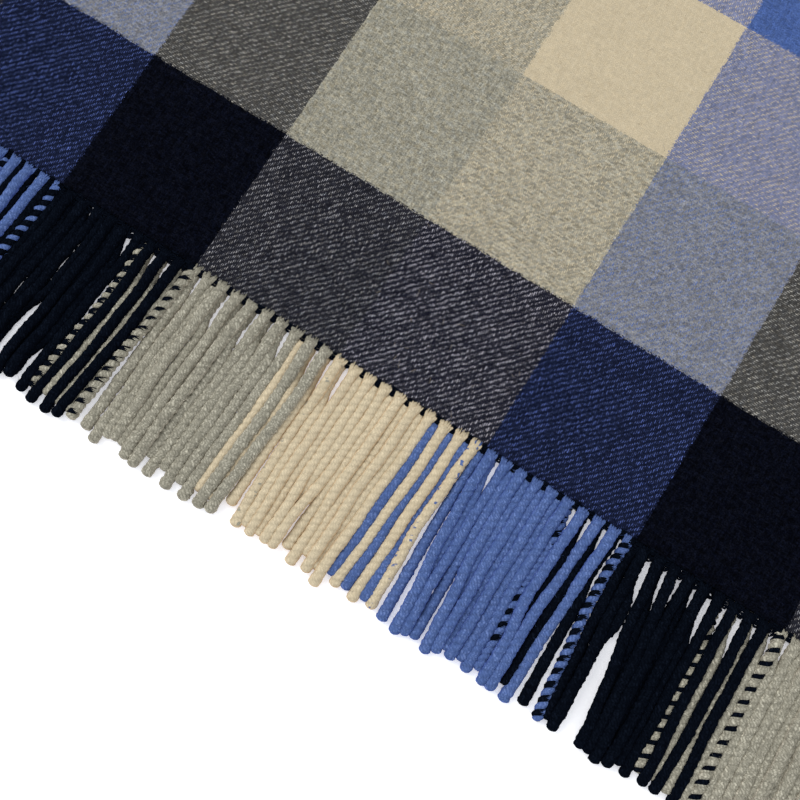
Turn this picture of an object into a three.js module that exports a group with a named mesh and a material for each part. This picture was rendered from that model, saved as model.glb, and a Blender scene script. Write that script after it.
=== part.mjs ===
// A folded wool blanket lying flat: one length of thick twill cloth folded once across its
// length, with its two fringed ends lying one above the other.
// Millimetres. +X runs along the fringed edge, +Y along the warp from the fringe to the fold,
// +Z is up. The origin is the middle of the bounding box, on the flat underside.

import * as THREE from 'three';

// ---- the cloth ----
const BLOCK = 84;                      // one colour of the check, 96 warp ends of 0.875 mm
const WIDTH = 8 * BLOCK;               // two whole repeats of the four colours
const FOLDED_LENGTH = 9.5 * BLOCK + 8; // half the blanket; the first two weft bands are a little off 84
const THICKNESS = 2.0;                 // milled wool cloth
const LAYER_GAP = 0.8;                 // air between the two layers
const FOLD_HEIGHT = 10.5;              // over the rounded fold
const FOLD_SWELL = 85;                 // length over which the upper layer climbs to the fold
const SKEW = 30;                       // the lower layer's fringed end lies this far to the left

// soft ridges (rise > 0) of the upper layer, each an elongated mound in plan
// x, y: its middle; along, across: half lengths; turn: degrees from +X; rise: height
const RIDGES = [
  { x: -190, y: 150, along: 190, across: 60, turn: 24, rise: 1.6 },
  { x: 40, y: 70, along: 210, across: 48, turn: 4, rise: 1.0 },
  { x: 120, y: 235, along: 230, across: 70, turn: -12, rise: 1.9 },
  { x: -120, y: 420, along: 200, across: 75, turn: 62, rise: 2.4 },
  { x: 190, y: 480, along: 170, across: 66, turn: 80, rise: 2.0 },
  { x: -30, y: 620, along: 260, across: 70, turn: 8, rise: 2.3 },
];

// ---- the fringe ----
const TASSELS = 78;                    // nine or ten warp ends each
const HEADER = 2.0;                    // strip that joins the roots
const SEAM = 0.3;                      // clear of the cloth's end
const TASSEL_WIDTH = 5.2;
const TASSEL_HEIGHT = 4.2;
const TASSEL_LENGTH = 99;
const LAY_GAP = 0.6;                   // between the two rows of tassels

// stations along a tassel: out: share of its length; wide, high: shares of its full section
const STATIONS = [
  { out: 0.085, wide: 0.96, high: 1.0 },
  { out: 0.36, wide: 1.0, high: 1.0 },
  { out: 0.68, wide: 1.0, high: 1.0 },
  { out: 0.965, wide: 0.98, high: 0.96 },
  { out: 1.0, wide: 0.5, high: 0.5 },
];

// where the roots stand along the edge, from its left end: a black band is gathered into more,
// narrower tassels than the others. tassel: how many lie to the left of x
const GATHER = [
  { tassel: 0, x: 0 },
  { tassel: 19.5, x: 172 },
  { tassel: 29.5, x: 254.8 },
  { tassel: 49, x: 424.8 },
  { tassel: 58.5, x: 507.1 },
  { tassel: 68.5, x: 589.5 },
  { tassel: 78, x: WIDTH },
];

// how each row of tassels lies along its edge: at: share of the width from the left;
// lean: sideways run over a tassel's length; extra: added to its length
const LIE = {
  fringe_lower: [
    { at: 0.0, lean: -4, extra: -4 },
    { at: 0.35, lean: -6, extra: -5 },
    { at: 0.55, lean: -3, extra: -7 },
    { at: 0.75, lean: 0, extra: -4 },
    { at: 1.0, lean: 3, extra: -4 },
  ],
  fringe_upper: [
    { at: 0.0, lean: -4, extra: 1 },
    { at: 0.35, lean: -7, extra: 1 },
    { at: 0.55, lean: -3, extra: 0 },
    { at: 0.75, lean: 1, extra: 0 },
    { at: 1.0, lean: 4, extra: 1 },
  ],
};

const smooth = (t) => { const s = Math.min(1, Math.max(0, t)); return s * s * (3 - 2 * s); };

// an even, repeatable scatter between -1 and 1
const scatter = (i, k) => {
  const s = Math.sin(i * 12.9898 + k * 78.233) * 43758.5453;
  return 2 * (s - Math.floor(s)) - 1;
};

// value of one column of a table where its key column is t, straight between its rows
function between(rows, column, t, key = 'at') {
  for (let i = 1; i < rows.length; i++) {
    if (t <= rows[i][key]) {
      const f = (t - rows[i - 1][key]) / (rows[i][key] - rows[i - 1][key]);
      return rows[i - 1][column] + f * (rows[i][column] - rows[i - 1][column]);
    }
  }
  return rows[rows.length - 1][column];
}

function ridgeHeight(x, y) {
  let h = 0;
  for (const r of RIDGES) {
    const a = THREE.MathUtils.degToRad(r.turn);
    const dx = x - r.x, dy = y - r.y;
    const u = (dx * Math.cos(a) + dy * Math.sin(a)) / r.along;
    const v = (-dx * Math.sin(a) + dy * Math.cos(a)) / r.across;
    h += r.rise * Math.exp(-2 * (u * u + v * v));
  }
  return h;
}

// a closed mesh from corner points and triangles
function solid(name, points, triangles, colour) {
  const g = new THREE.BufferGeometry();
  g.setAttribute('position', new THREE.Float32BufferAttribute(points.flat(), 3));
  g.setIndex(triangles.flat());
  g.computeVertexNormals();
  const mesh = new THREE.Mesh(g, new THREE.MeshStandardMaterial({ color: colour, roughness: 0.95, metalness: 0 }));
  mesh.name = name;
  return mesh;
}

// ---- cloth: the layers' section, carried along X ----
const R = FOLD_HEIGHT / 2;
const FOLD_START = FOLDED_LENGTH - R;

// underside of the upper layer
function upperUnderside(x, y) {
  const rest = THICKNESS + LAYER_GAP + ridgeHeight(x, y) * smooth(y / 60) * smooth((FOLD_START - y) / FOLD_SWELL);
  const t = smooth((y - (FOLD_START - FOLD_SWELL)) / FOLD_SWELL);
  return rest + t * (FOLD_HEIGHT - THICKNESS - (THICKNESS + LAYER_GAP));
}

// matching outer and inner points of the section at x, from the lower end round to the upper end
function section(x) {
  const outer = [], inner = [];
  const put = (px, y0, z0, y1, z1) => { outer.push([px, y0, z0]); inner.push([px, y1, z1]); };
  const LOWER_STATIONS = 4, ARC_STATIONS = 6, SWELL_STATIONS = 5, UPPER_STATIONS = 15;
  for (let i = 0; i < LOWER_STATIONS; i++) {
    const y = FOLD_START * i / LOWER_STATIONS;
    put(x - SKEW * (1 - y / FOLDED_LENGTH), y, 0, y, THICKNESS);
  }
  for (let i = 0; i <= ARC_STATIONS; i++) {
    const a = -Math.PI / 2 + Math.PI * i / ARC_STATIONS;
    const r = R - THICKNESS;
    const shift = SKEW * (1 - FOLD_START / FOLDED_LENGTH) * (1 - i / ARC_STATIONS);
    put(x - shift, FOLD_START + R * Math.cos(a), R + R * Math.sin(a), FOLD_START + r * Math.cos(a), R + r * Math.sin(a));
  }
  for (let i = 1; i <= SWELL_STATIONS; i++) {
    const y = FOLD_START - FOLD_SWELL * i / SWELL_STATIONS;
    const z = upperUnderside(x, y);
    put(x, y, z + THICKNESS, y, z);
  }
  for (let i = 1; i <= UPPER_STATIONS; i++) {
    const y = (FOLD_START - FOLD_SWELL) * (1 - i / UPPER_STATIONS);
    const z = upperUnderside(x, y);
    put(x, y, z + THICKNESS, y, z);
  }
  return { outer, inner };
}

function makeCloth() {
  const COLUMNS = 18;
  const points = [], tri = [];
  let n = 0;
  for (let j = 0; j <= COLUMNS; j++) {
    const s = section(-WIDTH / 2 + WIDTH * j / COLUMNS);
    n = s.outer.length;
    points.push(...s.outer, ...s.inner);
  }
  const out = (j, i) => j * 2 * n + i;
  const inn = (j, i) => j * 2 * n + n + i;
  const quad = (a, b, c, d) => tri.push([a, b, c], [a, c, d]);
  for (let j = 0; j < COLUMNS; j++) {
    for (let i = 0; i < n - 1; i++) {
      quad(out(j, i), out(j, i + 1), out(j + 1, i + 1), out(j + 1, i));
      quad(inn(j, i), inn(j + 1, i), inn(j + 1, i + 1), inn(j, i + 1));
    }
    quad(out(j, 0), out(j + 1, 0), inn(j + 1, 0), inn(j, 0));
    quad(out(j, n - 1), inn(j, n - 1), inn(j + 1, n - 1), out(j + 1, n - 1));
  }
  for (let i = 0; i < n - 1; i++) {
    quad(out(0, i), inn(0, i), inn(0, i + 1), out(0, i + 1));
    quad(out(COLUMNS, i), out(COLUMNS, i + 1), inn(COLUMNS, i + 1), inn(COLUMNS, i));
  }
  return solid('cloth', points, tri, 0x8a857c);
}

// ---- fringe: a header strip whose front face opens into tassels ----
function makeFringe(name, shiftX, rootLow, lieLow, salt, colour) {
  const rootX = (tassel) => shiftX - WIDTH / 2 + between(GATHER, 'x', tassel, 'tassel');
  const back = -SEAM, front = -SEAM - HEADER;
  const rows = LIE[name];
  const points = [], tri = [];
  const quad = (a, b, c, d) => tri.push([a, b, c], [a, c, d]);
  const edge = [];   // per boundary between tassels: back low, back high, front low, front high
  for (let i = 0; i <= TASSELS; i++) {
    const x = rootX(i);
    const low = rootLow(x);
    edge.push(points.length);
    points.push([x, back, low], [x, back, low + THICKNESS], [x, front, low], [x, front, low + THICKNESS]);
  }
  for (let i = 0; i < TASSELS; i++) {
    const a = edge[i], b = edge[i + 1];
    quad(a, a + 1, b + 1, b);              // back
    quad(a + 1, a + 3, b + 3, b + 1);      // top
    quad(a, b, b + 2, a + 2);              // underside
    const x = rootX(i + 0.5);
    const at = (i + 0.5) / TASSELS;
    const length = TASSEL_LENGTH + between(rows, 'extra', at) + 3.2 * scatter(i, salt);
    const lean = between(rows, 'lean', at) + 1.4 * scatter(i, salt + 1);
    const bow = 0.8 * scatter(i, salt + 2);
    // ring: front low left, front low right, front high right, front high left
    let ring = [a + 2, b + 2, b + 3, a + 3];
    for (const s of STATIONS) {
      const y = front - (length - HEADER) * s.out;
      const cx = x + lean * s.out + bow * Math.sin(Math.PI * s.out);
      const w = TASSEL_WIDTH * s.wide / 2, h = TASSEL_HEIGHT * s.high;
      const low = lieLow + (TASSEL_HEIGHT - h) / 2 * (s.high < 0.9 ? 0.6 : 0);
      const base = points.length;
      points.push([cx - w, y, low], [cx + w, y, low], [cx + w * 0.8, y, low + h], [cx - w * 0.8, y, low + h]);
      const next = [base, base + 1, base + 2, base + 3];
      for (let k = 0; k < 4; k++) {
        const m = (k + 1) % 4;
        quad(ring[k], ring[m], next[m], next[k]);
      }
      ring = next;
    }
    quad(ring[0], ring[1], ring[2], ring[3]);
  }
  const a = edge[0], b = edge[TASSELS];
  quad(a, a + 2, a + 3, a + 1);
  quad(b, b + 1, b + 3, b + 2);
  return solid(name, points, tri, colour);
}

const cloth = makeCloth();
const fringeLower = makeFringe('fringe_lower', -SKEW, () => 0, 0, 11, 0x7f7b74);
const fringeUpper = makeFringe('fringe_upper', 0, (x) => upperUnderside(x, 0), TASSEL_HEIGHT + LAY_GAP, 29, 0x93897a);

const blanket = new THREE.Group();
blanket.name = 'folded_wool_blanket';
blanket.add(cloth, fringeUpper, fringeLower);

// put the origin at the middle of the box, on the underside
const box = new THREE.Box3().setFromObject(blanket);
const middle = box.getCenter(new THREE.Vector3());
for (const mesh of blanket.children) mesh.geometry.translate(-middle.x, -middle.y, -box.min.z);

export default blanket;
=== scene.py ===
import math

import bpy
import numpy as np
from mathutils import Matrix, Vector


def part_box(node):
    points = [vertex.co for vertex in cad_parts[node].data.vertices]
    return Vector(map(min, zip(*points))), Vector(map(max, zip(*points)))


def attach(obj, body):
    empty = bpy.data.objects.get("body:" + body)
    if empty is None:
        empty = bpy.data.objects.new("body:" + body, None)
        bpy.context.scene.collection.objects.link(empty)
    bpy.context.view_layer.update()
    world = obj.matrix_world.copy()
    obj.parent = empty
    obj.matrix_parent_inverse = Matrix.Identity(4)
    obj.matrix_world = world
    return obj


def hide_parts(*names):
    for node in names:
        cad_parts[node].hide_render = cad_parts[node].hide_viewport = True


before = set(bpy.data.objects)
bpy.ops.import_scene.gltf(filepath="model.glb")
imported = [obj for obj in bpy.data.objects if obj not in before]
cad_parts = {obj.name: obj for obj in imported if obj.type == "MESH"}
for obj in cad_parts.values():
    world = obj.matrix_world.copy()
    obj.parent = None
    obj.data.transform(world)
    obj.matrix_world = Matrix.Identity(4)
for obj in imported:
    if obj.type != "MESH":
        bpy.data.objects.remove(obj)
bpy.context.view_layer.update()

MM = 0.001
rng = np.random.default_rng(20411)

# ---------------------------------------------------------------- sizes, in millimetres
BLOCK = 84.0
WIDTH = 8 * BLOCK
FOLDED_LENGTH = 9.5 * BLOCK + 8
THICKNESS = 2.0
LAYER_GAP = 0.8
FOLD_HEIGHT = 10.5
FOLD_SWELL = 85.0
SKEW = 30.0
END, PICK = 0.85, 0.915    # pitch of the warp ends and of the picks
EDGE_TO_BAND = 254.5      # from the left side to the black and grey boundary that the pattern is counted from
TASSEL_R = 2.5            # half a tassel's thickness
TURN = 7.8                # length of one full turn of a tassel's twist

lo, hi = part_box("cloth")
X0 = hi.x / MM - WIDTH + EDGE_TO_BAND   # the pattern's zero, in the frame
Y0 = lo.y / MM                          # the fringed end

# ---------------------------------------------------------------- camera
LENS = 50.0
TILT, ROLL, TURN_Z = math.radians(10.3), math.radians(-1.79), math.radians(-30.46)
AIM = (-1.242, 0.774)     # blocks
STAND = 6.478             # blocks
AIM_Z = 4.8


def place_camera():
    def back_to_cloth(v):
        c, s = math.cos(TURN_Z), math.sin(TURN_Z)
        return Vector((v[0] * c + v[1] * s, -v[0] * s + v[1] * c, v[2]))

    right = Vector((1, 0, 0))
    up = Vector((0, math.cos(TILT), math.sin(TILT)))
    back = Vector((0, -math.sin(TILT), math.cos(TILT)))
    c, s = math.cos(ROLL), math.sin(ROLL)
    r2, u2 = right * c - up * s, right * s + up * c
    pos = back * STAND - Vector((AIM[0], AIM[1], 0))
    pos = back_to_cloth(pos) * BLOCK
    m = Matrix((back_to_cloth(r2), back_to_cloth(u2), back_to_cloth(back))).transposed().to_4x4()
    m.translation = Vector(((X0 + pos.x) * MM, (Y0 + pos.y) * MM, (AIM_Z + pos.z) * MM))
    data = bpy.data.cameras.new("camera")
    data.sensor_width = 36
    data.lens = LENS
    data.clip_start, data.clip_end = 0.02, 20
    cam = bpy.data.objects.new("camera", data)
    cam.matrix_world = m
    bpy.context.scene.collection.objects.link(cam)
    bpy.context.scene.camera = cam


place_camera()


# ---------------------------------------------------------------- mesh helper
class Maker:
    """Gathers tubes and strips into one mesh, with per-corner UV maps."""

    def __init__(self, *maps):
        self.maps = maps
        self.v, self.f4, self.u4, self.fn, self.un, self.n = [], [], [], [], [], 0

    def quads(self, verts, faces, uv):
        self.v.append(verts)
        self.f4.append(faces + self.n)
        self.u4.append([np.asarray(uv[m], float) for m in self.maps])
        self.n += len(verts)

    def cap(self, ring, uv):
        """ring: indices from the last quads' own vertices, in order"""
        base = self.n - len(self.v[-1])
        self.fn.append(np.asarray(ring) + base)
        self.un.append([np.tile(np.asarray(uv[m], float), (len(ring), 1)) for m in self.maps])

    def build(self, name, smooth=True):
        v = np.concatenate(self.v) * MM
        f4 = np.concatenate(self.f4)
        loops = [f4.reshape(-1)] + list(self.fn)
        totals = np.concatenate([np.full(len(f4), 4), np.array([len(r) for r in self.fn], int)]).astype(np.int32)
        loops = np.concatenate(loops).astype(np.int32)
        starts = np.concatenate([[0], np.cumsum(totals)[:-1]]).astype(np.int32)
        me = bpy.data.meshes.new(name)
        me.vertices.add(len(v))
        me.vertices.foreach_set("co", v.astype(np.float32).reshape(-1))
        me.loops.add(len(loops))
        me.loops.foreach_set("vertex_index", loops)
        me.polygons.add(len(totals))
        me.polygons.foreach_set("loop_start", starts)
        me.polygons.foreach_set("loop_total", totals)
        me.update(calc_edges=True)
        for k, m in enumerate(self.maps):
            parts = [u[k].reshape(-1, 2) for u in self.u4] + [u[k] for u in self.un]
            layer = me.uv_layers.new(name=m)
            layer.data.foreach_set("uv", np.concatenate(parts).astype(np.float32).reshape(-1))
        me.polygons.foreach_set("use_smooth", np.full(len(totals), smooth))
        me.validate()
        ob = bpy.data.objects.new(name, me)
        bpy.context.scene.collection.objects.link(ob)
        return ob


def strip_faces(rings, sides, closed=True):
    """quads between rings of sides points each; wound so that they face out when the ring runs anticlockwise seen against the direction of travel"""
    i = np.arange(rings - 1)[:, None] * sides
    k = np.arange(sides if closed else sides - 1)[None, :]
    k2 = (k + 1) % sides
    a, b, c, d = i + k, i + k2, i + sides + k2, i + sides + k
    return np.stack([a, b, c, d], -1).reshape(-1, 4)


# ---------------------------------------------------------------- cloth
RIDGES = [  # x, y, along, across, turn, rise, as on the solid
    (-190, 150, 190, 60, 24, 1.6),
    (40, 70, 210, 48, 4, 1.0),
    (120, 235, 230, 70, -12, 1.9),
    (-120, 420, 200, 75, 62, 2.4),
    (190, 480, 170, 66, 80, 2.0),
    (-30, 620, 260, 70, 8, 2.3),
]
R = FOLD_HEIGHT / 2
FOLD_START = FOLDED_LENGTH - R


def smooth(t):
    t = np.clip(t, 0, 1)
    return t * t * (3 - 2 * t)


def upper_underside(x, y):
    h = 0
    for rx, ry, along, across, turn, rise in RIDGES:
        a = math.radians(turn)
        dx, dy = x - rx, y - ry
        u = (dx * math.cos(a) + dy * math.sin(a)) / along
        v = (-dx * math.sin(a) + dy * math.cos(a)) / across
        h = h + rise * np.exp(-2 * (u * u + v * v))
    rest = THICKNESS + LAYER_GAP + h * smooth(y / 60) * smooth((FOLD_START - y) / FOLD_SWELL)
    t = smooth((y - (FOLD_START - FOLD_SWELL)) / FOLD_SWELL)
    return rest + t * (FOLD_HEIGHT - 2 * THICKNESS - LAYER_GAP)


def make_cloth():
    cols = 150
    xs = np.linspace(-WIDTH / 2, WIDTH / 2, cols + 1)
    outer, inner, run = [], [], []
    # lower layer, from its fringed end to the fold
    for y in np.linspace(0, FOLD_START, 22)[:-1]:
        sx = xs - SKEW * (1 - y / FOLDED_LENGTH)
        outer.append(np.stack([sx, np.full_like(xs, y), np.zeros_like(xs)], -1))
        inner.append(np.stack([sx, np.full_like(xs, y), np.full_like(xs, THICKNESS)], -1))
        run.append(2 * FOLDED_LENGTH - y)
    for i in range(15):
        a = -math.pi / 2 + math.pi * i / 14
        r = R - THICKNESS
        sx = xs - SKEW * (1 - FOLD_START / FOLDED_LENGTH) * (1 - i / 14)
        outer.append(np.stack([sx, np.full_like(xs, FOLD_START + R * math.cos(a)), np.full_like(xs, R + R * math.sin(a))], -1))
        inner.append(np.stack([sx, np.full_like(xs, FOLD_START + r * math.cos(a)), np.full_like(xs, R + r * math.sin(a))], -1))
        run.append(2 * FOLDED_LENGTH - FOLD_START - (i / 14) * 2 * (FOLDED_LENGTH - FOLD_START))
    for y in np.concatenate([np.linspace(FOLD_START, FOLD_START - FOLD_SWELL, 19)[1:], np.linspace(FOLD_START - FOLD_SWELL, 0, 144)[1:]]):
        z = upper_underside(xs, y)
        z = z + 0.10 * np.sin(xs * 0.11 + y * 0.05) * np.sin(y * 0.083 + 1.3) * smooth(y / 30)
        outer.append(np.stack([xs, np.full_like(xs, y), z + THICKNESS], -1))
        inner.append(np.stack([xs, np.full_like(xs, y), z], -1))
        run.append(y)
    n = len(outer)
    shift = np.array([X0 - EDGE_TO_BAND + WIDTH / 2, Y0, 0])
    # one closed ring per column: outer path then inner path back
    ring = np.concatenate([np.array(outer), np.array(inner)[::-1]], 0)     # (2n, cols+1, 3)
    ring = ring.transpose(1, 0, 2)                                          # (cols+1, 2n, 3)
    verts = ring.reshape(-1, 3) + shift
    faces = strip_faces(cols + 1, 2 * n)
    warp = xs + WIDTH / 2 - EDGE_TO_BAND
    weft = np.concatenate([run, run[::-1]])
    grid = np.stack(np.meshgrid(warp, weft, indexing="ij"), -1).reshape(-1, 2) * MM
    mk = Maker("weave")
    mk.quads(verts, faces, {"weave": grid[faces]})
    # side ends: ladders between the outer and inner paths
    for col, flip in ((0, True), (cols, False)):
        base = col * 2 * n
        i = np.arange(n - 1)
        lad = np.stack([base + i, base + i + 1, base + 2 * n - 2 - i, base + 2 * n - 1 - i], -1)
        if flip:
            lad = lad[:, ::-1]
        mk.f4.append(lad)
        mk.u4.append([grid[lad]])
    ob = mk.build("cloth_weave")
    return ob


# ---------------------------------------------------------------- node helper
class Nodes:
    def __init__(self, name):
        self.mat = bpy.data.materials.new(name)
        self.mat.use_nodes = True
        self.t = self.mat.node_tree
        self.t.nodes.clear()
        self.out = self.t.nodes.new("ShaderNodeOutputMaterial")

    def put(self, sock, val):
        if isinstance(val, bpy.types.NodeSocket):
            self.t.links.new(val, sock)
        else:
            if sock.type == "RGBA" and len(val) == 3:
                val = (*val, 1)
            sock.default_value = val

    def node(self, kind, **props):
        n = self.t.nodes.new("ShaderNode" + kind)
        for k, v in props.items():
            setattr(n, k, v)
        return n

    def m(self, op, a, b=None, c=None, clamp=False):
        n = self.node("Math", operation=op, use_clamp=clamp)
        for s, v in zip(n.inputs, (a, b, c)):
            if v is not None:
                self.put(s, v)
        return n.outputs[0]

    def add(self, a, b): return self.m("ADD", a, b)
    def sub(self, a, b): return self.m("SUBTRACT", a, b)
    def mul(self, a, b): return self.m("MULTIPLY", a, b)
    def div(self, a, b): return self.m("DIVIDE", a, b)

    def step(self, x, a, b, lo=0.0, hi=1.0, kind="SMOOTHSTEP"):
        n = self.node("MapRange", interpolation_type=kind, clamp=True)
        for s, v in zip(n.inputs[:5], (x, a, b, lo, hi)):
            self.put(s, v)
        return n.outputs[0]

    def uv(self, name):
        n = self.node("UVMap", uv_map=name)
        x = self.node("SeparateXYZ")
        self.t.links.new(n.outputs[0], x.inputs[0])
        return n.outputs[0], x.outputs[0], x.outputs[1]

    def vec(self, x, y, z=0.0):
        n = self.node("CombineXYZ")
        for s, v in zip(n.inputs, (x, y, z)):
            self.put(s, v)
        return n.outputs[0]

    def noise(self, vector, scale, detail=2.0, rough=0.5, dims="3D"):
        n = self.node("TexNoise", noise_dimensions=dims)
        self.put(n.inputs["Vector"], vector)
        n.inputs["Scale"].default_value = scale
        n.inputs["Detail"].default_value = detail
        n.inputs["Roughness"].default_value = rough
        return n.outputs["Fac"]

    def white(self, vector):
        n = self.node("TexWhiteNoise", noise_dimensions="2D")
        self.put(n.inputs["Vector"], vector)
        return n.outputs["Value"]

    def ramp(self, fac, stops, kind="CONSTANT"):
        n = self.node("ValToRGB")
        n.color_ramp.interpolation = kind
        e = n.color_ramp.elements
        while len(e) < len(stops):
            e.new(1.0)
        for k, (p, c) in enumerate(stops):
            e[k].position = p
            e[k].color = (*c, 1)
        self.put(n.inputs[0], fac)
        return n.outputs[0]

    def mix(self, fac, a, b, blend="MIX"):
        n = self.node("Mix", data_type="RGBA", blend_type=blend)
        self.put(n.inputs[0], fac)
        self.put(n.inputs[6], a)
        self.put(n.inputs[7], b)
        return n.outputs[2]

    def bright(self, colour, factor):
        """colour times a scalar"""
        n = self.node("VectorMath", operation="SCALE")
        self.put(n.inputs[0], colour)
        self.put(n.inputs[3], factor)
        return n.outputs[0]

    def wool(self, colour, height, distance, strength=0.7, sheen=0.25, rough=0.95, tint=False):
        p = self.node("BsdfPrincipled")
        self.put(p.inputs["Base Color"], colour)
        p.inputs["Roughness"].default_value = rough
        p.inputs["Specular IOR Level"].default_value = 0.0
        p.inputs["Sheen Weight"].default_value = sheen
        p.inputs["Sheen Roughness"].default_value = 0.55
        if tint:
            self.put(p.inputs["Sheen Tint"], colour)
        b = self.node("Bump")
        b.inputs["Strength"].default_value = strength
        b.inputs["Distance"].default_value = distance
        self.put(b.inputs["Height"], height)
        self.t.links.new(b.outputs[0], p.inputs["Normal"])
        self.t.links.new(p.outputs[0], self.out.inputs[0])
        return self.mat


def srgb(r, g, b, k=1.0):
    def one(c):
        c /= 255
        return k * (c / 12.92 if c <= 0.04045 else ((c + 0.055) / 1.055) ** 2.4)
    return one(r), one(g), one(b)


GREY = srgb(151, 147, 132)
CREAM = srgb(201, 186, 157)
BLUE = srgb(77, 101, 158)
BLACK = srgb(8, 10, 19)
# share of the warp colour that shows, for each colour of the weft: the darker wool mats over the lighter, and the
# shares are set lower still for painted shade in the weave's crevices
SHOWN_WITH_SHADE = {
    "black": (0.150, 0.106, 0.200, 0.5),     # under a grey, cream, blue, black warp
    "grey": (0.5, 0.27, 0.45, 0.67),
    "cream": (0.73, 0.5, 0.62, 0.9),
    "blue": (0.55, 0.38, 0.5, 0.82),
}
# how mottled each wool is: grey, cream, blue, black
MOTTLED = (1.25, 0.30, 0.95, 0.8)
AT_X = (0.0, 0.2538, 0.5045, 0.7545)        # where the warp's bands start, of one repeat
AT_Y = (0.0, 0.25, 0.5, 0.75)


def grey3(v):
    return (v, v, v)


def bluish_sheen(c, k):
    """a pale yarn half buried in black wool, seen through its blue-black haze and given a painted bluish sheen: its
    colour is pulled toward a bluish grey of the same brightness
    """
    lum = 0.2126 * c[0] + 0.7152 * c[1] + 0.0722 * c[2]
    return tuple(a * (1 - k) + k * lum * t for a, t in zip(c, (0.98, 1.0, 1.34)))


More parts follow.
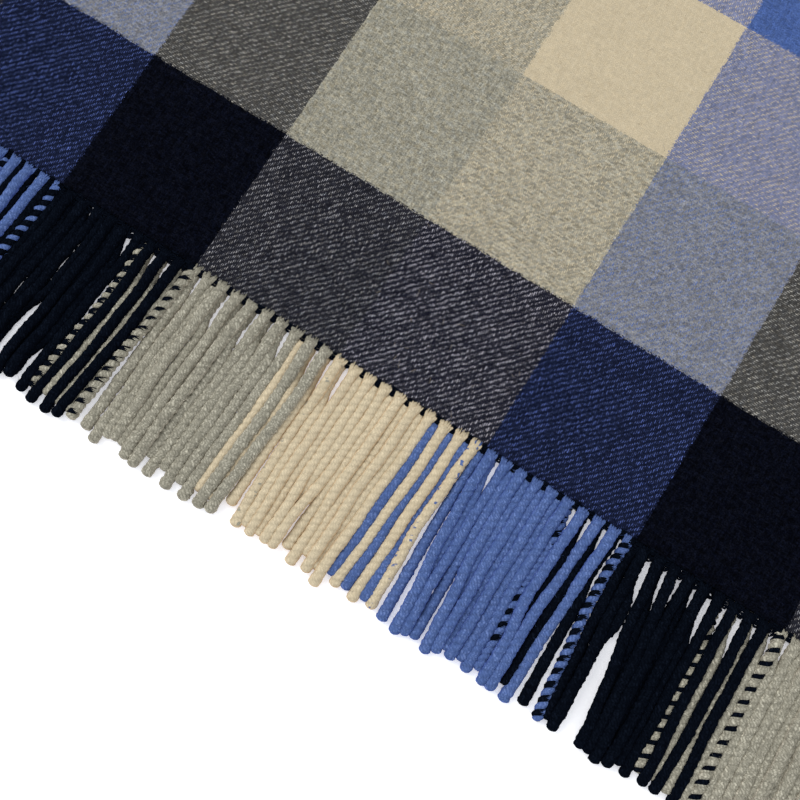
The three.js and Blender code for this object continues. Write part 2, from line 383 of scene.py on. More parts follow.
def cloth_material():
    n = Nodes("check_wool_twill")
    uv, u, v = n.uv("weave")
    # the yarns wander a little
    w1 = n.noise(uv, 150, 2)
    w2 = n.noise(n.vec(n.add(u, 3.1), v), 800, 2)
    du = n.mul(n.sub(w1, 0.5), 0.0017)
    dv = n.mul(n.sub(w2, 0.5), 0.0009)
    iu = n.div(n.add(u, n.add(du, dv)), END * MM)
    jv = n.div(n.add(v, n.sub(dv, du)), PICK * MM)
    i, j = n.m("FLOOR", iu), n.m("FLOOR", jv)
    fu, fv = n.sub(iu, i), n.sub(jv, j)
    half_pi = math.pi / 2
    zw = n.m("COSINE", n.mul(n.sub(i, jv), half_pi))
    zf = n.mul(n.m("COSINE", n.mul(n.sub(n.sub(iu, j), 1.0), half_pi)), -1.0)
    cu = n.m("SINE", n.mul(fu, math.pi))
    cv = n.m("SINE", n.mul(fv, math.pi))
    hw = n.add(zw, n.mul(cu, 0.9))
    hf = n.add(zf, n.mul(cv, 0.9))
    # one number for each float of each thread
    float_w = n.white(n.vec(i, n.m("FLOOR", n.add(n.mul(n.sub(jv, i), 0.25), 0.5))))
    float_f = n.white(n.vec(n.m("FLOOR", n.add(n.mul(n.sub(n.sub(iu, j), 3.0), 0.25), 0.5)), n.add(j, 517.0)))
    # colours of the two threads; the bands' edges are feathered by the nap
    f1 = n.noise(n.vec(n.add(u, 0.9), v), 900, 3, 0.7)
    f2 = n.noise(n.vec(u, n.add(v, 0.9)), 900, 3, 0.7)
    period = 4 * BLOCK * MM
    at_warp = n.add(n.add(i, 0.5), n.mul(n.sub(f1, 0.5), 4.6))
    wx = n.m("FLOORED_MODULO", n.div(n.mul(at_warp, END * MM), period), 1.0)
    vy = n.mul(n.add(n.add(j, 0.5), n.mul(n.sub(f2, 0.5), 5.2)), PICK * MM)
    t = n.add(n.step(vy, 0, 0.0828, 0, 1, "LINEAR"), n.step(vy, 0.0828, 0.1757, 0, 1, "LINEAR"))
    t = n.add(t, n.m("MAXIMUM", n.div(n.sub(vy, 0.1757), 0.0843), 0.0))
    wy = n.m("FLOORED_MODULO", n.div(n.add(t, 0.0005), 4.0), 1.0)
    dyes = (GREY, CREAM, BLUE, BLACK)
    warp = n.ramp(wx, list(zip(AT_X, dyes)))
    # painted bluish sheen on pale yarns among black wool: the warp ends in the black weft band, and the picks in the
    # black warp band
    warp_sheen = n.ramp(wx, list(zip(AT_X, (bluish_sheen(GREY, 0.45), bluish_sheen(CREAM, 0.66), srgb(80, 96, 156), BLACK))))
    weft = n.ramp(wy, list(zip(AT_Y, (BLACK, GREY, CREAM, BLUE))))
    weft_sheen = n.ramp(wy, list(zip(AT_Y, (BLACK, bluish_sheen(GREY, 0.20), bluish_sheen(CREAM, 0.30), BLUE))))
    in_black = n.m("LESS_THAN", wy, 0.25)
    warp = n.mix(in_black, warp, warp_sheen)
    # black picks look bluer between pale ends than between black ones
    weft_blue = n.ramp(wx, list(zip(AT_X, (srgb(9, 11, 24), srgb(9, 12, 27), BLACK, BLACK))))
    weft = n.mix(in_black, weft, weft_blue)
    weft = n.mix(n.m("GREATER_THAN", wx, 0.7545), weft, weft_sheen)
    shows = None
    for at, row in zip(AT_Y, ("black", "grey", "cream", "blue")):
        part = n.mul(n.ramp(wx, [(p, grey3(v)) for p, v in zip(AT_X, SHOWN_WITH_SHADE[row])]),
                     n.mul(n.m("GREATER_THAN", wy, at - 0.0001), n.m("LESS_THAN", wy, at + 0.25 - 0.0001)))
        shows = part if shows is None else n.add(shows, part)
    # the scarcer thread is seen as short dashes in rows, through a haze of its own fibres
    scarce = n.m("LESS_THAN", shows, 0.4999)      # 1 where that is the warp

    def one_of(a, b):
        return n.add(n.mul(scarce, a), n.mul(n.sub(1.0, scarce), b))

    share = n.m("MINIMUM", shows, n.sub(1.0, shows))
    rise = n.mul(n.sub(hw, hf), n.sub(n.mul(scarce, 2.0), 1.0))
    across = one_of(cu, cv)
    fuzz = n.noise(uv, 1250, 3, 0.75)
    mat = n.noise(n.vec(n.add(u, 7.7), v), 620, 3, 0.6)
    patchy = n.noise(n.vec(n.add(u, 2.3), v), 110, 2, 0.5)
    dash = n.mul(n.step(rise, -1.2, 2.2), n.mul(n.m("POWER", across, 8.0), 3.6))
    dash = n.mul(dash, n.add(0.45, n.mul(n.m("POWER", one_of(float_w, float_f), 1.5), 1.35)))
    cell = n.white(n.vec(n.add(i, 0.5), n.add(j, 0.5), 3.3))      # each crossing is worn by itself
    dash = n.mul(dash, n.add(0.08, n.mul(n.m("POWER", cell, 1.7), 2.65)))
    seen = n.add(0.20, n.mul(dash, 2.05))
    seen = n.mul(seen, n.add(1.0, n.mul(n.sub(fuzz, 0.5), 5.8)))
    seen = n.mul(seen, n.add(1.0, n.mul(n.sub(mat, 0.5), 2.6)))
    seen = n.mul(seen, n.add(1.0, n.mul(n.sub(patchy, 0.5), 1.9)))
    pale = n.add(share, n.mul(n.mul(share, n.m("POWER", n.sub(1.0, share), 2.2)), n.mul(n.sub(seen, 1.0), 1.22)))
    pale = n.m("MINIMUM", n.m("MAXIMUM", pale, 0.010), 0.97)
    top = one_of(pale, n.sub(1.0, pale))
    col = n.mix(top, weft, warp)
    # unevenness and melange of each thread, and painted shade in the weave's crevices
    amount_w = n.ramp(wx, [(p, grey3(v)) for p, v in zip(AT_X, MOTTLED)])
    amount_f = n.ramp(wy, [(p, grey3(v)) for p, v in zip(AT_Y, (MOTTLED[3], MOTTLED[0], MOTTLED[1], MOTTLED[2]))])
    amount = n.add(n.mul(amount_w, top), n.mul(amount_f, n.sub(1.0, top)))
    all_black = n.mul(in_black, n.m("GREATER_THAN", wx, 0.7545))
    amount = n.add(amount, n.mul(all_black, 1.6))
    floats = n.add(n.mul(float_w, top), n.mul(float_f, n.sub(1.0, top)))
    fleck = n.noise(uv, 1150, 3, 0.7)
    blot = n.noise(n.vec(n.add(u, 1.7), v), 360, 3, 0.65)
    cloud = n.noise(uv, 38, 3, 0.55)
    height = n.m("MAXIMUM", hw, hf)
    # painted shade in the weave: the cloth is darkened overall, and most where a thread lies low between the others
    k = n.step(height, 0.1, 1.7, 0.80, 0.93, "LINEAR")
    k = n.mul(k, n.add(1.0, n.mul(n.mul(n.sub(floats, 0.5), 0.5), amount)))
    k = n.mul(k, n.add(1.0, n.mul(n.mul(n.sub(fleck, 0.5), 1.9), amount)))
    k = n.mul(k, n.add(1.0, n.mul(n.mul(n.sub(blot, 0.5), 0.9), amount)))
    k = n.mul(k, n.add(0.95, n.mul(cloud, 0.10)))
    k = n.mul(k, n.ramp(wx, [(p, grey3(v)) for p, v in zip(AT_X, (1.0, 1.0, 0.92, 1.0))]))
    # warmer and cooler fibres in the melange
    hue = n.mul(n.sub(n.noise(n.vec(n.add(u, 4.1), v), 420, 3, 0.6), 0.5), amount)
    warm = n.node("CombineXYZ")
    for sock, gain in zip(warm.inputs, (0.22, 0.0, -0.40)):
        n.put(sock, n.add(1.0, n.mul(hue, gain)))
    tinted = n.node("VectorMath", operation="MULTIPLY")
    n.put(tinted.inputs[0], col)
    n.put(tinted.inputs[1], warm.outputs[0])
    col = n.bright(tinted.outputs[0], n.m("MAXIMUM", k, 0.25))
    h = n.add(n.mul(height, 0.35), n.mul(fuzz, 1.0))
    return n.wool(col, h, 0.0004, 0.5, 0.01)


def tassel_material(name="plied_wool_twist"):
    n = Nodes(name)
    uv, a, l = n.uv("ply")            # a: across one ply, l: metres along the tassel
    _, main, odd = n.uv("dye")        # colours, 0 to 1
    _, share, seed = n.uv("mix")      # share of odd yarns, and a number per ply
    stops = [(0.0, GREY), (0.25, CREAM), (0.5, srgb(78, 101, 154)), (0.75, srgb(8, 12, 20))]
    yarns = 5.0
    wob = n.noise(n.vec(n.mul(a, 0.006), l, n.mul(seed, 5.0)), 260, 2)
    # the yarns lie against the twist of the plies, nearly along the tassel
    lay = n.sub(n.mul(a, yarns), n.mul(l, yarns * 2.5 / (TURN * MM)))
    lay = n.add(lay, n.mul(n.sub(wob, 0.5), 3.2))
    k = n.m("FLOORED_MODULO", n.m("FLOOR", lay), 5.0)
    f = n.m("FRACT", lay)
    strand = n.m("SINE", n.mul(f, math.pi))
    c1, c2 = n.ramp(main, stops), n.ramp(odd, stops)
    isodd = n.mul(n.m("LESS_THAN", k, n.sub(n.mul(share, 5.0), 0.5)),
                  n.step(n.noise(n.vec(n.mul(a, 0.006), l, n.mul(seed, 2.0)), 240, 2), 0.50, 0.56))
    col = n.mix(isodd, c1, c2)
    # pale and dark fibres in the wool, strongest in the grey
    fleck = n.noise(n.vec(n.mul(lay, 0.0016), n.mul(l, 0.6), n.mul(seed, 3.0)), 1300, 3, 0.7)
    blot = n.noise(n.vec(n.mul(a, 0.007), l, n.mul(seed, 9.0)), 460, 2, 0.6)
    cloud = n.noise(n.vec(n.mul(a, 0.004), l, n.mul(seed, 4.0)), 80, 2)
    # each yarn shows in short lenses before it dives under the next; each lens is a painted highlight on the yarn's
    # crest
    place = n.add(n.add(n.div(l, 0.0029), n.mul(n.white(n.vec(k, n.mul(seed, 31.0))), 7.0)), n.mul(wob, 4.0))
    one = n.white(n.vec(n.add(k, 11.0), n.add(n.m("FLOOR", place), n.mul(seed, 57.0))))
    lens = n.mul(n.m("SINE", n.mul(n.m("FRACT", place), math.pi)), n.mul(strand, n.add(0.15, one)))
    # patches where the painted groove shade is partly filled in, most in the coarse wool
    patchy = n.step(n.noise(n.vec(n.mul(a, 0.004), l, n.mul(seed, 6.0)), 130, 2), 0.38, 0.62)
    # painted shade in the grooves between the plies: 0 at a ply's edges, 1 at its middle
    groove = n.m("POWER", n.m("SINE", n.mul(a, math.pi)), 0.8)
    # the grey wool is coarse and flecked, the cream smooth with its twist plain to see through painted shade in its
    # grooves
    coarse = n.ramp(main, [(0.0, grey3(1.10)), (0.25, grey3(0.27)), (0.5, grey3(0.72)), (0.75, grey3(1.6))])
    plain = n.m("MAXIMUM", n.sub(1.15, coarse), 0.0)
    groove = n.add(groove, n.mul(n.sub(1.0, groove), n.mul(patchy, n.mul(coarse, 0.5))))
    # painted highlight: each yarn is a little lighter along its crest, and its lenses much lighter where the wool is
    # coarse
    b = n.add(n.add(0.97, n.mul(coarse, -0.17)), n.mul(strand, 0.05))
    b = n.add(b, n.mul(n.mul(lens, coarse), 0.78))
    b = n.mul(b, n.add(1.0, n.mul(n.sub(fleck, 0.5), n.add(0.35, n.mul(coarse, 1.2)))))
    # painted groove shade, stronger where the wool is smooth
    b = n.mul(b, n.add(1.0, n.mul(n.sub(groove, 0.72), n.mul(plain, 0.10))))
    # the roots are darker where they pass in under the last picks
    b = n.mul(b, n.step(n.m("ABSOLUTE", n.sub(l, 0.1985)), 0.0, 0.0034, 0.45, 1.0))
    b = n.mul(b, n.add(0.94, n.mul(cloud, 0.12)))
    # how deep the painted groove shade is for each wool
    groove_shade = n.ramp(main, [(0.0, grey3(0.26)), (0.25, grey3(0.10)), (0.5, grey3(0.19)), (0.75, grey3(0.19))])
    b = n.mul(b, n.add(n.sub(0.977, n.mul(groove_shade, 0.72)), n.mul(groove, groove_shade)))
    b = n.mul(b, n.add(0.97, n.mul(seed, 0.06)))
    # painted light and shade on the tassels' sides: side-facing surfaces are lightened, darkened and tinted for each
    # wool, standing in for light that has passed through the wool between the tassels
    geo = n.node("NewGeometry")
    face = n.node("SeparateXYZ")
    n.put(face.inputs[0], geo.outputs["Normal"])
    side = n.step(face.outputs[2], 0.85, 0.15)
    side_light_tint = n.ramp(main, [(0.0, (1.21, 1.17, 1.18)), (0.25, (1.04, 0.92, 0.83)), (0.5, (0.76, 0.77, 1.00)),
                         (0.75, (0.9, 0.9, 0.9))])
    shade = n.mix(side, (1, 1, 1), side_light_tint)
    tinted = n.node("VectorMath", operation="MULTIPLY")
    n.put(tinted.inputs[0], col)
    n.put(tinted.inputs[1], shade)
    b = n.mul(b, n.ramp(main, [(0.0, grey3(0.955)), (0.25, grey3(1.01)), (0.5, grey3(0.93)), (0.75, grey3(1.0))]))
    # painted highlight: the lenses of all but the black wool are pulled a little toward a whitish grey
    pale = n.mul(n.mul(lens, n.step(main, 0.74, 0.70)), 0.07)
    col = n.bright(n.mix(pale, tinted.outputs[0], (0.55, 0.55, 0.50)), b)
    fine = n.noise(n.vec(n.mul(a, 0.009), l, n.mul(seed, 3.0)), 2400, 3, 0.6)
    h = n.add(n.mul(strand, 0.6), n.mul(fine, 0.8))
    return n.wool(col, h, 0.0003, 0.6, 0.45, tint=True)


# ---------------------------------------------------------------- fringe
# where the roots stand: tassel number, counted from the black and grey boundary, and x
GATHER = [(-29.5, -254.5), (-10, -82.5), (0, 0.3), (19.5, 170.3), (29, 252.6), (39, 335.0), (48.5, 417.5)]
LOWER_OFF = [(-29.5, 0), (-10, 1.0), (0, 1.9), (19.5, 0.2), (29, -2.1), (39, 0.5), (48.5, 0)]
# upper tassels as the photograph shows them: number, x 20, 50 and 95 mm out, and length
UPPER = [
    (-10, -84, -87, -91, 99), (-9, -74.5, -78, -82, 98), (-8, -66.5, -70.5, -75, 99),
    (-7, -58.5, -61, -66, 98), (-6, -49, -50, -54, 99), (-5, -41, -44, -47, 96),
    (-4, -33, -36, -38.5, 99), (-3, -24, -26, -30.5, 101), (-2, -16.3, -18, -22, 101.5),
    (-1, -8.5, -10, -15.5, 100), (0, -1, -4.6, -8.6, 97),
    (1, 8.6, 6.7, 6.5, 101), (2, 16.4, 14.6, 15.4, 94.5), (3, 26.4, 25.7, 24.2, 99.5),
    (4, 33.6, 31.8, 29.6, 100.5), (5, 43, 41, 38.2, 100.5), (6, 52, 50, 48.5, 101),
    (7, 62, 61, 59, 101), (8, 71, 70.2, 67.5, 100), (9, 79.5, 77.5, 74, 99),
    (10, 87.5, 86.3, 87.5, 98), (11, 96.3, 95.5, 96, 98), (12, 105, 104, 105, 97),
    (13, 114, 113, 107.5, 97), (14, 122.3, 120.5, 120.3, 99), (15, 131, 129, 128.5, 98),
    (16, 139, 137.3, 135, 101.5), (17, 148.5, 147, 143.7, 96.5), (18, 157, 156, 154.5, 98),
    (19, 164.5, 163, 164, 96), (20, 174.5, 175.3, 180.6, 100), (21, 183, 183, 182.5, 98),
    (22, 191.5, 192.5, 196.3, 100), (23, 200.3, 200, 200.5, 97), (24, 208.7, 208, 208, 96),
    (25, 217, 217, 217.5, 97), (26, 225.8, 224.3, 229, 98), (27, 234.3, 232, 229, 98),
    (28, 242.7, 241.5, 239.5, 99), (29, 250.7, 252.5, 257, 98), (30, 261, 263, 265, 98),
    (31, 270.5, 274.6, 280.5, 98), (32, 279, 283.5, 287, 98),
]


def scatter(i, k):
    s = math.sin(i * 12.9898 + k * 78.233) * 43758.5453
    return 2 * (s - math.floor(s)) - 1


def gather(t, table=GATHER):
    return float(np.interp(t, [r[0] for r in table], [r[1] for r in table]))


NUMBERS = np.arange(-29, 49)
OUT = np.linspace(0, 103, 42)     # stations, millimetres out from the edge


def layer_paths(upper):
    known = {r[0]: r for r in UPPER}
    xs, lengths = [], []
    for k in NUMBERS:
        root = gather(k)
        if not upper:
            root += -SKEW + gather(k, LOWER_OFF)
        if upper and k in known:
            _, a, b, c, length = known[k]
            x = np.interp(OUT, [0, 6, 20, 50, 95, 103], [root, root + 0.2 * (a - root), a, b, c, c + (c - b) * 0.17])
        else:
            f = (gather(k) + EDGE_TO_BAND) / WIDTH
            lean = np.interp(f, [0, 0.35, 0.55, 0.75, 1], [-4, -7, -3, 1, 4] if upper else [-4, -6.5, -3, 0, 3])
            lean += 1.6 * scatter(k, 3 if upper else 5)
            bow = 1.3 * scatter(k, 7 if upper else 9)
            t = OUT / 100
            x = root + lean * t ** 1.3 + bow * np.sin(math.pi * t)
            length = (99 if upper else 93.5) + 2.0 * scatter(k, 13 if upper else 17)
        x = x + 0.25 * np.sin(OUT * 0.16 + 5 * scatter(k, 21)) * smooth(OUT / 20)
        # soften the corners of the table
        pad = np.concatenate([np.full(2, x[0]), x, x[-1] + (x[-1] - x[-2]) * np.arange(1, 3)])
        x = np.convolve(pad, [0.12, 0.22, 0.32, 0.22, 0.12], "valid")
        xs.append(x)
        lengths.append(length)
    x = np.array(xs)
    # neighbours push each other aside
    for _ in range(14):
        gap = np.diff(x, axis=0)
        push = np.clip(4.5 - gap, 0, None) * 0.5 * smooth(OUT / 10)
        x[:-1] -= push
        x[1:] += push
    return x, np.array(lengths)


def heights(x_low, len_low, x_up):
    z_low = 1.1 + (TASSEL_R - 1.1) * smooth(OUT / 9) + np.zeros_like(x_low)
    reach = 4.3
    z_up = np.full_like(x_up, TASSEL_R)
    for i in range(len(x_low)):
        there = smooth((len_low[i] + 2 - OUT) / 5)
        d = np.abs(x_up - x_low[i][None, :])
        lift = np.sqrt(np.clip(reach ** 2 - d ** 2, 0, None))
        z_up = np.maximum(z_up, TASSEL_R + lift * there[None, :])
    kern = np.exp(-0.5 * (np.arange(-4, 5) / 1.8) ** 2)
    kern /= kern.sum()
    out = []
    for z in z_up:
        p = np.concatenate([np.full(4, z[0]), z, np.full(4, z[-1])])
        out.append(np.convolve(p, kern, "valid"))
    z_up = np.array(out)
    root = THICKNESS + LAYER_GAP + 1.1
    t = smooth(OUT / 14)
    return z_low, root * (1 - t) + z_up * t


# of the sides of a two-coloured tassel, how many show its first colour
SPLIT = {0: 6, -10: 6, 29: 7, 39: 5}


def colour_of(k, upper=True):
    """(main colour of ply one, of ply two, odd colour, share of odd yarns per ply) of tassel number k"""
    x = gather(k)
    g, c, b, n = 0.125, 0.375, 0.625, 0.875
    ph = (x / BLOCK) % 4
    band = g if ph < 1.015 else c if ph < 2.02 else b if ph < 3.02 else n
    first, second, odd, share = band, band, band, (0.0, 0.0)
    special = {
        -29: (c, c, n, (0, 0)),
        -20: (b, b, c, (0.2, 0)),
        -10: (b, n, n, (0.0, 0.0)),
        0: (n, g, g, (0.0, 0.0)),
        10: (c, c, g, (0.2, 0.0)),
        19: (c, c, b, (0.2, 0.0)),
        29: (b, n, b, (0.0, 0.0)),
        39: (n, g, n, (0.0, 0.0)),
        48: (g, g, c, (0.2, 0.0)),
    }
    if not upper and k in (10, 19):
        return (g, g, g, (0.0, 0.0)) if k == 10 else (c, c, c, (0.0, 0.0))
    if k in special:
        first, second, odd, share = special[k]
    return first, second, odd, share


def frames(p):
    """unit vectors across a nearly straight path: one level, one upward"""
    t = np.gradient(p, axis=0)
    t /= np.linalg.norm(t, axis=1)[:, None]
    across = np.cross(t, [0, 0, 1.0])
    across /= np.linalg.norm(across, axis=1)[:, None]
    up = np.cross(across, t)
    return t, across, up


def tube(mk, centre, across, up, ra, ru, sides, uvs):
    """a closed tube; uvs(name) gives (start, end) style per-ring data"""
    rings = len(centre)
    ang = np.arange(sides) / sides * 2 * math.pi
    pts = (centre[:, None, :] + (np.cos(ang)[None, :, None] * ra[:, None, None]) * across[:, None, :]
           + (np.sin(ang)[None, :, None] * ru[:, None, None]) * up[:, None, :])
    pts[..., 2] = np.maximum(pts[..., 2], 0.02)
    faces = strip_faces(rings, sides)
    i = np.arange(rings - 1)[:, None]
    k = np.arange(sides)[None, :]
    i2, k2 = np.broadcast_arrays(i, k)
    ringi = np.stack([i2, i2, i2 + 1, i2 + 1], -1).reshape(-1, 4)
    sidei = np.stack([k2, k2 + 1, k2 + 1, k2], -1).reshape(-1, 4)
    uv = {}
    for name, (kind, val) in uvs.items():
        if kind == "around":      # val: metres along, per ring
            uv[name] = np.stack([sidei / sides, val[ringi]], -1)
        else:
            uv[name] = np.broadcast_to(np.array(val, float), (len(faces), 4, 2))
    mk.quads(pts.reshape(-1, 3), faces, uv)
    for ring, flip in ((np.arange(sides), True), (np.arange(sides) + (rings - 1) * sides, False)):
        where = {m: (0.5, float(uvs[m][1][0 if flip else -1])) if uvs[m][0] == "around" else tuple(uvs[m][1]) for m in uvs}
        mk.cap(ring[::-1] if flip else ring, where)


def uneven_surface(rings, sides):
    """lumps a few millimetres long, and finer ones"""
    e = rng.standard_normal((rings + 6, sides))
    kern = np.exp(-0.5 * (np.arange(-3, 4) / 1.5) ** 2)
    kern /= np.sqrt((kern ** 2).sum())
    e = np.stack([np.convolve(c, kern, "valid") for c in e.T], 1)
    e = (e + np.roll(e, 1, 1) + np.roll(e, -1, 1)) / 1.73
    fine = rng.standard_normal((rings, sides))
    return 0.045 * e + 0.034 * fine


def make_tassels(name, pick, x, z, lengths, upper):
    """each tassel is two plies twisted together and milled into one round cord with two soft grooves"""
    mk = Maker("ply", "dye", "mix")
    per_turn, per_ply = 10, 7
    sides = 2 * per_ply
    part = np.arange(per_ply) / per_ply           # across a ply, from one groove to the other
    psi = np.concatenate([part, part + 1.0]) * math.pi - math.pi / 2
    kk = np.arange(sides)
    a0 = (kk % per_ply) / per_ply
    a1 = a0 + 1 / per_ply
    for row in pick:
        k = int(NUMBERS[row])
        length = lengths[row]
        first, second, odd, share = colour_of(k, upper)
        # the plies of a tassel of one colour are milled together; two colours stand apart as rounder plies
        off = {0.125: 0.07, 0.375: 0.045, 0.625: 0.055, 0.875: 0.07}[second] if first == second else 0.20
        ply_r = 1 - off
        split = SPLIT.get(k, per_ply) + (2 if k == 0 and not upper else 0)
        lobe = off * np.abs(np.cos(psi)) + np.sqrt(ply_r ** 2 - (off * np.sin(psi)) ** 2)
        turn = (TURN if first == second else 6.6) * (1 + 0.08 * scatter(k, 31 if upper else 33))
        start = 2.4
        rings = int((length - start) / turn * per_turn) + 1
        s = np.linspace(start, length, rings)
        p = np.stack([X0 + np.interp(s, OUT, x[row]), Y0 - s, np.interp(s, OUT, z[row])], -1)
        t, across, up = frames(p)
        uneven = 0.25 * np.sin(s * 0.21 + 9 * scatter(k, 37))
        theta = -(2 * math.pi * (s / turn) + uneven + 6.28 * scatter(k, 41 if upper else 43))
        grow = smooth((s - start) / 5.0 + 0.3)
        tip = np.sqrt(np.clip(1 - np.clip((s - (length - 2.4)) / 2.5, 0, 1) ** 2.6, 0.015, 1))
        size = TASSEL_R * (1.07 + 0.07 * (second == 0.125) - 0.03 * (second == 0.375) + 0.04 * scatter(k, 47)) * (1 + 0.035 * np.sin(s * 0.5 + 7 * scatter(k, 51)) + 0.02 * np.sin(s * 1.7 + 3 * scatter(k, 53)))
        rad = size * (0.74 + 0.26 * grow + 0.07 * smooth((s - length + 16) / 12)) * tip
        ang = theta[:, None] + psi[None, :]
        r = rad[:, None] * lobe[None, :] * (1 + uneven_surface(rings, sides) * (1.0 if second == 0.125 else 0.45 if second == 0.375 else 0.65))
        pts = (p[:, None, :] + (np.cos(ang) * r * 1.07)[..., None] * across[:, None, :]
               + (np.sin(ang) * r * 0.95)[..., None] * up[:, None, :])
        pts[..., 2] = np.maximum(pts[..., 2], 0.03)
        faces = strip_faces(rings, sides)
        i2, k2 = np.broadcast_arrays(np.arange(rings - 1)[:, None], kk[None, :])
        i2, k2 = i2.reshape(-1), k2.reshape(-1)
        l0, l1 = s[i2] * MM, s[i2 + 1] * MM
        ply_uv = np.stack([np.stack([a0[k2], l0], -1), np.stack([a1[k2], l0], -1),
                           np.stack([a1[k2], l1], -1), np.stack([a0[k2], l1], -1)], 1)
        ply = (k2 >= split).astype(int)
        plain = 0 if k == 29 else 1
        if k == 29 and not upper:       # the black yarn shows here and there
            ply = np.where(np.sin(s[i2] * 0.115 + 0.6) < -0.15, plain, ply)
        if k in (0, 29):
            ply = np.where(np.cos(ang[i2, k2]) < -0.60 + 0.25 * np.sin(i2 * 1.3), plain, ply)
        dye = np.stack([np.where(ply == 0, first, second), np.full(len(k2), odd)], -1)
        seeds = [0.5 + 0.5 * scatter(k, 61 + q + (0 if upper else 5)) for q in (0, 1)]
        mixv = np.stack([np.where(ply == 0, share[0], share[1]), np.where(ply == 0, seeds[0], seeds[1])], -1)
        mk.quads(pts.reshape(-1, 3), faces, {
            "ply": ply_uv, "dye": np.repeat(dye[:, None, :], 4, 1), "mix": np.repeat(mixv[:, None, :], 4, 1)})
        mk.cap(np.arange(sides)[::-1], {"ply": (0.5, start * MM), "dye": (first, odd), "mix": (share[0], seeds[0])})
        mk.cap(np.arange(sides) + (rings - 1) * sides, {"ply": (0.5, length * MM), "dye": (second, odd), "mix": (0.0, seeds[1])})
    return mk.build(name)


def make_roots(name, x, z, z_cloth, upper):
    """warp ends that leave the cloth side by side and run together into each tassel"""
    mk = Maker("ply", "dye", "mix")
    for row, k in enumerate(NUMBERS):
        k = int(k)
        first, second, odd, share = colour_of(k, upper)
        cell = gather(k + 0.5) - gather(k - 0.5)
        for e in range(10):
            f = (e - 4.5) / 10
            top = {0.125: -0.2, 0.375: 0.3, 0.625: 0.9, 0.875: 0.6}[second]
            s = np.linspace(top - (2.7 if second < 0.5 else 1.9) * abs(scatter(k * 11 + e, 3)), 7.4, 8)
            t = smooth((s + 1.0) / 8.5)
            wide = (cell * (0.78 - 0.05 * (second > 0.5)) + 0.6 * scatter(k, 91)) * (1 - t) + 4.0 * t
            px = X0 + np.interp(s, OUT, x[row]) * 1.0 + f * wide + 0.35 * scatter(k * 13 + e, 5) * (1 - t)
            arch = np.sqrt(np.clip(1 - (2.2 * f) ** 2, 0, 1))
            pz = z_cloth * (1 - t) + t * (np.interp(np.clip(s, 0, None), OUT, z[row]) + 1.75 * arch * 0.9) - 0.2
            pz = pz + 0.3 * np.sin((s + e) * 1.9) * (1 - t) - 0.9 * smooth((s - 5.4) / 2.0)
            pz = pz - 0.42 * (1 - smooth((s - s[0]) / 1.8))
            p = np.stack([px, Y0 - s, pz], -1)
            tt, across, up = frames(p)
            r = np.full(len(s), 0.64) * (1 + 0.16 * rng.standard_normal(len(s)))
            r[0] = 0.12
            r[1] *= 0.75
            r[-1] = 0.2
            dye = first if e < 5 else second
            if share[0] > 0 and e in (3, 7):
                dye = odd
            tube(mk, p, across, up, r, r, 5, {
                "ply": ("around", s * MM + 0.2),
                "dye": ("all", (dye, dye)),
                "mix": ("all", (0.0, 0.5 + 0.5 * scatter(k * 17 + e, 7))),
            })
    return mk.build(name)


def make_edge_weft(name, x, z0, upper):
    """the last picks, which stand out between the roots as dark tufts"""
    mk = Maker("ply", "dye", "mix")
    black = 0.875
    for row in range(len(NUMBERS) + 1):
        k = NUMBERS[0] + row - 0.5
        off = 0.0 if upper else -SKEW + gather(k, LOWER_OFF)
        mid = X0 + gather(k) + off
        for e in range(6 if upper and warp_dye(gather(k)) > 0.8 else 4):     # black tufts reach further
            kk = int(k * 2) * 5 + e
            half = 2.7 + 0.5 * scatter(kk, 1)
            t = np.linspace(-1, 1, 9)
            depth = 0.5 + e * 1.08 + 0.25 * scatter(kk, 2)
            px = mid + t * half + 0.4 * scatter(kk, 3)
            py = Y0 + 0.9 - depth * (1 - 0.75 * np.abs(t) ** 2.2) * 1.15
            pz = z0 + 0.25 * scatter(kk, 4) + 0.25 * np.cos(t * 2.4) - 0.12 * min(e, 3)
            p = np.stack([px, py, pz], -1)
            tt, across, up = frames(p)
            r = 0.62 * np.sqrt(np.clip(1.02 - t ** 4, 0.05, 1)) * (1 + 0.2 * rng.standard_normal(len(t)))
            tube(mk, p, across, up, r, r, 6, {
                "ply": ("around", (t + 2 + row) * 0.003),
                "dye": ("all", (black, black)),
                "mix": ("all", (0.0, 0.5 + 0.5 * scatter(kk, 9))),
            })
    return mk.build(name)


def loose(mk, base, way, rise, length, dye, r=0.055):
    """one hair: leaves base along way, curling"""
    t = np.linspace(0, 1, 4)
    side = np.cross(way, [0, 0, 1.0])
    side /= max(np.linalg.norm(side), 1e-6)
    curl = rng.normal() * 0.35 * length
    p = base + np.outer(t, way) * length + np.outer(t * t, side) * curl + np.outer(t * (1.2 - t), [0, 0, 1.0]) * rise
    p[:, 2] = np.maximum(p[:, 2], 0.1)
    _, across, up = frames(p)
    rr = r * np.array([1.0, 1.0, 0.85, 0.4])
    tube(mk, p, across, up, rr, rr, 3, {
        "ply": ("around", t * length * MM + 0.3), "dye": ("all", (dye, dye)), "mix": ("all", (0.0, rng.random()))})


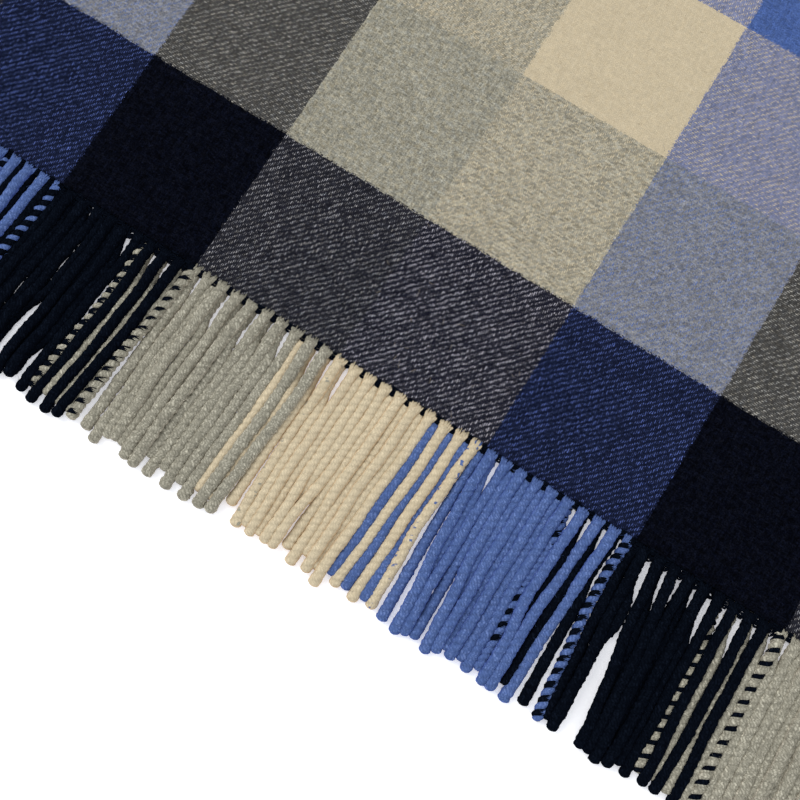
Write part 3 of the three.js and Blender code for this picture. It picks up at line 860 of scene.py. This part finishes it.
def make_tassel_hair(name, x, z, lengths, each, upper):
    mk = Maker("ply", "dye", "mix")
    for row, k in enumerate(NUMBERS):
        first, second, _, _ = colour_of(int(k), upper)
        for _ in range(each):
            s = rng.uniform(1.0, lengths[row] - 1.0)
            phi = rng.uniform(0.05, 0.95) * math.pi
            c = np.array([X0 + np.interp(s, OUT, x[row]), Y0 - s, np.interp(s, OUT, z[row])])
            out = np.array([math.cos(phi), 0, math.sin(phi)])
            way = out * rng.uniform(0.2, 0.9) + np.array([rng.normal() * 0.5, rng.choice([-1, 1]) * rng.uniform(0.2, 1.0), 0])
            way /= np.linalg.norm(way)
            base = c + out * np.array([TASSEL_R * 1.12, 0, TASSEL_R * 1.0])
            loose(mk, base, way, 0.2, rng.uniform(0.9, 2.6), first if rng.random() < 0.5 else second)
    return mk.build(name)


def weft_dye(y):
    bands = [0.875, 0.125, 0.375, 0.625]
    t = y / 82.8 if y < 82.8 else 1 + (y - 82.8) / 92.9 if y < 175.7 else 2 + (y - 175.7) / 84.3
    return bands[int(t) % 4]


def warp_dye(x):
    ph = (x / BLOCK) % 4
    return 0.125 if ph < 1.015 else 0.375 if ph < 2.02 else 0.625 if ph < 3.02 else 0.875


def make_cloth_hair(name, count):
    mk = Maker("ply", "dye", "mix")
    for _ in range(count):
        x, y = rng.uniform(-WIDTH / 2 + 2, WIDTH / 2 - 2), rng.uniform(2, FOLD_START - 2)
        px = x + X0 - EDGE_TO_BAND + WIDTH / 2
        z = float(upper_underside(np.array(x), y)) + THICKNESS
        a = rng.uniform(0, 2 * math.pi)
        way = np.array([math.cos(a), math.sin(a), 0.10])
        near = rng.normal(0, 6, 2)
        dye = warp_dye(x + WIDTH / 2 - EDGE_TO_BAND + near[0]) if rng.random() < 0.6 else weft_dye(max(y + near[1], 0))
        loose(mk, np.array([px, Y0 + y, z + 0.06]), way, 0.35, rng.uniform(1.5, 4.0), dye, 0.045)
    return mk.build(name)


# where bare table shows near the roots, the lower tassel keeps under its neighbour for the first part
BARE = {-70: (9, 0.8), -62: (9, 0.8), -36.5: (15, 0), -20: (19, 0), -12: (20, 0), -3.5: (14, 1.4), 6: (13, 1.4),
        22.5: (24, 1.2), 31: (14, 1.6), 40: (26, 1.2), 49.5: (17, 1.6), 58: (17, 1.3), 75: (22, 1.4), 84: (20, 1.4),
        92: (24, 1.2), 180: (19, 1.5), 223: (13, 1.6), 232: (17, 1.5), 240: (14, 1.6), 248: (34, 2.3), 265: (25, 1.0),
        274: (23, 1.8), 282: (26, 0.6), 290.5: (15, 1.8), 298: (25, 1.2), 306: (20, 1.4), 314: (21, 1.2),
        323: (15, 1.4), 331: (13, 1.4)}      # place: how far out it shows, and how far the lower one peeps out
# lower tassels that the photograph shows off their gap: x 20, 50 and 95 mm out
LOWER = {0: (-28, -29.6, -34.8), 4: (2.4, 1.2, -0.2), 13: (82.2, 81, 80.2), 23: (169.3, 169.8, 171.2), 25: (187.5, 188, 188.6)}
LONGER = {4: 97.5, 13: 90.5, 23: 98, 25: 97}
APART = {-3: 49, -1: 68, 34: 38}      # lower tassels that leave their gap, and how far out


def settle(x_low, x_up):
    """the lower tassels lie in the gaps of the upper row, four places on from their own number"""
    out = x_low.copy()
    for r, k in enumerate(NUMBERS):
        u = r - 4
        if u < 0 or u + 1 >= len(NUMBERS):
            continue
        gap = (x_up[u] + x_up[u + 1]) / 2 + 0.35 * scatter(k, 71)
        here = gap[4]
        at = min(BARE, key=lambda b: abs(here - b))
        h = np.zeros_like(OUT)
        under = x_up[u] + 1.5
        if abs(here - at) < 4.2:
            far, peep = BARE[at]
            under = x_up[u] + peep
            h = 1 - smooth((OUT - far + 7) / 12)
        elif (here < -80 or here > 335) and scatter(k, 73) > 0:
            h = 1 - smooth((OUT - 7 - 3 * abs(scatter(k, 75))) / 12)
        if int(k) in APART:
            h = np.maximum(h, smooth((OUT - APART[int(k)]) / 14))
        if int(k) in LOWER:
            a, b, c = LOWER[int(k)]
            gap = np.interp(OUT, [0, 6, 20, 50, 95, 103], [gap[0], gap[0] * 0.8 + a * 0.2, a, b, c, c + (c - b) * 0.17])
        out[r] = gap * (1 - h) + under * h
    kern = np.exp(-0.5 * (np.arange(-3, 4) / 1.3) ** 2)
    kern /= kern.sum()
    for r in range(len(out)):
        q = np.concatenate([np.full(3, out[r, 0]), out[r], out[r, -1] + (out[r, -1] - out[r, -2]) * np.arange(1, 4)])
        out[r] = np.convolve(q, kern, "valid")
    return out


x_up, len_up = layer_paths(True)
x_low, len_low = layer_paths(False)
x_low = settle(x_low, x_up)
for number, span in LONGER.items():
    len_low[list(NUMBERS).index(number)] = span
z_low, z_up = heights(x_low, len_low, x_up)

cloth = make_cloth()
cloth.data.materials.append(cloth_material())
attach(cloth, "root")
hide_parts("cloth")

wool = tassel_material()
half = len(NUMBERS) // 2
fringe = []
for side, pick in (("left", range(half)), ("right", range(half, len(NUMBERS)))):
    for level, x, z, lengths in (("upper", x_up, z_up, len_up), ("lower", x_low, z_low, len_low)):
        ob = make_tassels(f"tassels_{level}_{side}", pick, x, z, lengths, level == "upper")
        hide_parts("fringe_" + level)
        fringe.append(ob)
fringe.append(make_roots("root_ends_upper", x_up, z_up, THICKNESS * 2 + LAYER_GAP, True))
fringe.append(make_roots("root_ends_lower", x_low, z_low, THICKNESS, False))
fringe.append(make_edge_weft("edge_picks_upper", x_up, THICKNESS + LAYER_GAP + 1.35, True))
fringe.append(make_edge_weft("edge_picks_lower", x_low, 1.0, False))
fringe.append(make_tassel_hair("loose_hair_upper", x_up, z_up, len_up, 34, True))
fringe.append(make_tassel_hair("loose_hair_lower", x_low, z_low, len_low, 12, False))
fringe.append(make_cloth_hair("nap_hair", 2600))
for ob in fringe:
    ob.data.materials.append(wool)
    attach(ob, "root")


# ---------------------------------------------------------------- floor and light
def make_floor():
    me = bpy.data.meshes.new("floor")
    s = 3.0
    me.from_pydata([(-s, -s, 0), (s, -s, 0), (s, s, 0), (-s, s, 0)], [], [(0, 1, 2, 3)])
    ob = bpy.data.objects.new("floor", me)
    bpy.context.scene.collection.objects.link(ob)
    n = Nodes("white_table")
    geo = n.node("TexCoord")
    soft = n.noise(geo.outputs["Object"], 3.0, 2)
    p = n.node("BsdfPrincipled")
    n.put(p.inputs["Base Color"], n.mix(soft, (0.93, 0.93, 0.945), (0.95, 0.95, 0.96)))
    p.inputs["Roughness"].default_value = 0.8
    p.inputs["Emission Color"].default_value = (0.92, 0.93, 1.0, 1)
    p.inputs["Emission Strength"].default_value = 0.36
    n.t.links.new(p.outputs[0], n.out.inputs[0])
    me.materials.append(n.mat)


make_floor()

scene = bpy.context.scene
world = bpy.data.worlds.new("world")
world.use_nodes = True
bg = world.node_tree.nodes["Background"]
bg.inputs[0].default_value = (0.95, 0.97, 1.0, 1)
bg.inputs[1].default_value = 0.91
scene.world = world


def sun(name, strength, angle, azimuth, elevation, colour=(1, 1, 1)):
    data = bpy.data.lights.new(name, "SUN")
    data.energy = strength
    data.angle = math.radians(angle)
    data.color = colour
    ob = bpy.data.objects.new(name, data)
    a, e = math.radians(azimuth), math.radians(elevation)
    d = Vector((math.cos(a) * math.cos(e), math.sin(a) * math.cos(e), math.sin(e)))
    ob.rotation_mode = "QUATERNION"
    ob.rotation_quaternion = d.to_track_quat("Z", "Y")
    scene.collection.objects.link(ob)


sun("key", 1.14, 34, 165, 48, (1.0, 0.99, 0.97))

scene.view_settings.view_transform = "Standard"
scene.view_settings.look = "None"
scene.view_settings.exposure = 0
scene.view_settings.gamma = 1
